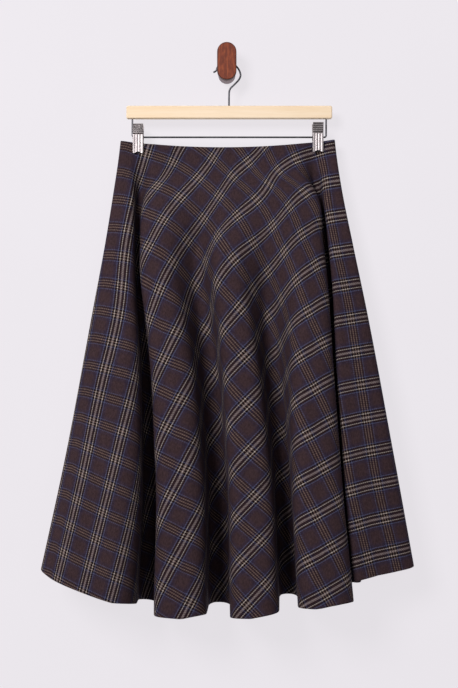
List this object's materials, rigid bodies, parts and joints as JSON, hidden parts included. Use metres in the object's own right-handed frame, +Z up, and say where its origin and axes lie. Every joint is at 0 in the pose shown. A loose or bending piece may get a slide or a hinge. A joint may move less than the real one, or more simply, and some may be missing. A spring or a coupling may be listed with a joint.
{
  "type": "a-line midi skirt on a clip hanger and wall peg",
  "caption": "Flared plaid wool midi skirt with soft hanging folds, held by its waist on a wooden clip hanger that hooks over a wall peg.",
  "frame": {"origin": "the middle of the peg's back face, where it meets the wall", "axes": "+Y into the wall, so the skirt's front faces -Y; +Z up; +X to the right as the front is seen"},
  "size_m": [0.6298, 0.1663, 0.9732],
  "materials": {
    "plaid_wool": "soft brushed wool, dark brown with navy and beige plaid",
    "zip_tape": "matte woven tape",
    "birch": "pale, fine sanded",
    "gunmetal": "dark satin",
    "chrome": "polished",
    "rubber": "matte",
    "peg_paint": "flat painted",
    "red_wood": "oiled, dark rim"
  },
  "bodies": {
    "root": {"skirt_front": "plaid_wool", "skirt_back": "plaid_wool", "side_zip": "zip_tape", "hanger_bar": "birch", "hanger_rod": "gunmetal", "hanger_hook": "gunmetal", "left_clip_front_plate": "chrome", "left_clip_front_grip": "chrome", "left_clip_front_pad": "rubber", "left_clip_back_plate": "chrome", "left_clip_back_grip": "chrome", "left_clip_back_pad": "rubber", "left_clip_hinge": "chrome", "right_clip_front_plate": "chrome", "right_clip_front_grip": "chrome", "right_clip_front_pad": "rubber", "right_clip_back_plate": "chrome", "right_clip_back_grip": "chrome", "right_clip_back_pad": "rubber", "right_clip_hinge": "chrome", "peg_post": "peg_paint", "peg_cap": "red_wood"}
  },
  "joints": []
}
